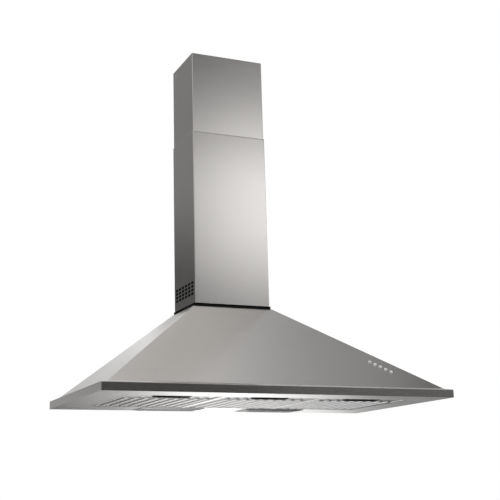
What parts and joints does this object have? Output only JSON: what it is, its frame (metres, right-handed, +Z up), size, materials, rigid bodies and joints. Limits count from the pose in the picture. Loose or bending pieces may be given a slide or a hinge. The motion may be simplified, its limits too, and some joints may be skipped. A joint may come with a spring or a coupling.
{
  "type": "range hood",
  "caption": "Wall-hung chimney range hood: pyramid canopy on a low rim, telescoping chimney, ridged grease filters with latches, lamps, push buttons and a scroll blower.",
  "frame": {"origin": "on the wall, at the middle of the hood's lower edge, on the back panel's rear face", "axes": "+X to the right seen from the front, +Y into the wall, +Z up"},
  "size_m": [0.9, 0.48, 0.9775],
  "materials": {
    "brushed_steel": "satin brushed",
    "zinc_steel": "dull galvanised sheet",
    "seal_rubber": "matt black",
    "filter_aluminium": "satin pressed sheet",
    "mesh_aluminium": "fine open mesh",
    "latch_plastic": "dark grey",
    "spring_steel": "bright strip",
    "bezel_plastic": "mid-grey",
    "lens_glass": "frosted",
    "socket_ceramic": "white glazed",
    "bulb_glass": "opal",
    "housing_plastic": "black moulded",
    "wheel_plastic": "off-white moulded",
    "shaft_steel": "ground bright",
    "motor_metal": "grey cast",
    "capacitor_plastic": "white",
    "button_metal": "bright",
    "board_green": "green laminate"
  },
  "bodies": {
    "hood": {"canopy_skin": "brushed_steel", "rim_frame": "brushed_steel", "lower_chimney": "brushed_steel", "bottom_pan": "brushed_steel", "filter_rail_left": "brushed_steel", "filter_rail_right": "brushed_steel", "back_panel": "zinc_steel", "blower_deck": "zinc_steel", "left_lamp_tray": "zinc_steel", "right_lamp_tray": "zinc_steel", "chimney_seal": "seal_rubber", "left_lamp_bezel": "bezel_plastic", "right_lamp_bezel": "bezel_plastic", "left_lamp_lens": "lens_glass", "right_lamp_lens": "lens_glass", "left_lamp_socket": "socket_ceramic", "right_lamp_socket": "socket_ceramic", "left_lamp_bulb": "bulb_glass", "right_lamp_bulb": "bulb_glass", "scroll_left": "housing_plastic", "scroll_right": "housing_plastic", "outlet_collar": "housing_plastic", "button_carrier": "housing_plastic", "cable_gland": "housing_plastic", "junction_box": "housing_plastic", "junction_lid": "housing_plastic", "motor": "motor_metal", "capacitor": "capacitor_plastic", "switch_board": "board_green"},
    "chimney_upper": {"upper_chimney": "brushed_steel", "chimney_bracket": "zinc_steel"},
    "fan": {"fan_wheel": "wheel_plastic", "motor_shaft": "shaft_steel"},
    "flap_front": {"damper_flap_front": "housing_plastic"},
    "flap_rear": {"damper_flap_rear": "housing_plastic"},
    "button_1": {"push_button_1": "button_metal"},
    "button_2": {"push_button_2": "button_metal"},
    "button_3": {"push_button_3": "button_metal"},
    "button_4": {"push_button_4": "button_metal"},
    "button_5": {"push_button_5": "button_metal"},
    "left_filter": {"left_filter_frame": "filter_aluminium", "left_filter_face": "filter_aluminium", "left_filter_mesh": "mesh_aluminium", "left_filter_spring": "spring_steel"},
    "left_latch": {"left_filter_latch": "latch_plastic"},
    "centre_filter": {"centre_filter_frame": "filter_aluminium", "centre_filter_face": "filter_aluminium", "centre_filter_mesh": "mesh_aluminium", "centre_filter_spring": "spring_steel"},
    "centre_latch": {"centre_filter_latch": "latch_plastic"},
    "right_filter": {"right_filter_frame": "filter_aluminium", "right_filter_face": "filter_aluminium", "right_filter_mesh": "mesh_aluminium", "right_filter_spring": "spring_steel"},
    "right_latch": {"right_filter_latch": "latch_plastic"}
  },
  "joints": [
    {"name": "chimney_height", "type": "slide", "parent": "hood", "child": "chimney_upper", "axis": [0, 0, 1], "range_m": [-0.19, 0.12]},
    {"name": "fan_spin", "type": "hinge", "parent": "hood", "child": "fan", "pos_m": [0, -0.136, 0.146], "axis": [1, 0, 0], "continuous": true},
    {"name": "flap_front_lift", "type": "hinge", "parent": "hood", "child": "flap_front", "pos_m": [0, -0.087, 0.3], "axis": [1, 0, 0], "range_deg": [-75, 0]},
    {"name": "flap_rear_lift", "type": "hinge", "parent": "hood", "child": "flap_rear", "pos_m": [0, -0.075, 0.3], "axis": [1, 0, 0], "range_deg": [0, 75]},
    {"name": "button_1_press", "type": "slide", "parent": "hood", "child": "button_1", "axis": [0, 0.6172, -0.7868], "range_m": [0, 0.002], "stiffness_N_per_m": 400},
    {"name": "button_2_press", "type": "slide", "parent": "hood", "child": "button_2", "axis": [0, 0.6172, -0.7868], "range_m": [0, 0.002], "stiffness_N_per_m": 400},
    {"name": "button_3_press", "type": "slide", "parent": "hood", "child": "button_3", "axis": [0, 0.6172, -0.7868], "range_m": [0, 0.002], "stiffness_N_per_m": 400},
    {"name": "button_4_press", "type": "slide", "parent": "hood", "child": "button_4", "axis": [0, 0.6172, -0.7868], "range_m": [0, 0.002], "stiffness_N_per_m": 400},
    {"name": "button_5_press", "type": "slide", "parent": "hood", "child": "button_5", "axis": [0, 0.6172, -0.7868], "range_m": [0, 0.002], "stiffness_N_per_m": 400},
    {"name": "left_filter_tilt", "type": "hinge", "parent": "hood", "child": "left_filter", "pos_m": [-0.25, -0.105, 0.0042], "axis": [1, 0, 0], "range_deg": [0, 45]},
    {"name": "left_latch_draw", "type": "slide", "parent": "left_filter", "child": "left_latch", "axis": [0, 1, 0], "range_m": [0, 0.006], "stiffness_N_per_m": 300, "deforming": ["left_filter_spring"]},
    {"name": "centre_filter_tilt", "type": "hinge", "parent": "hood", "child": "centre_filter", "pos_m": [0, -0.105, 0.0042], "axis": [1, 0, 0], "range_deg": [0, 45]},
    {"name": "centre_latch_draw", "type": "slide", "parent": "centre_filter", "child": "centre_latch", "axis": [0, 1, 0], "range_m": [0, 0.006], "stiffness_N_per_m": 300, "deforming": ["centre_filter_spring"]},
    {"name": "right_filter_tilt", "type": "hinge", "parent": "hood", "child": "right_filter", "pos_m": [0.25, -0.105, 0.0042], "axis": [1, 0, 0], "range_deg": [0, 45]},
    {"name": "right_latch_draw", "type": "slide", "parent": "right_filter", "child": "right_latch", "axis": [0, 1, 0], "range_m": [0, 0.006], "stiffness_N_per_m": 300, "deforming": ["right_filter_spring"]}
  ]
}
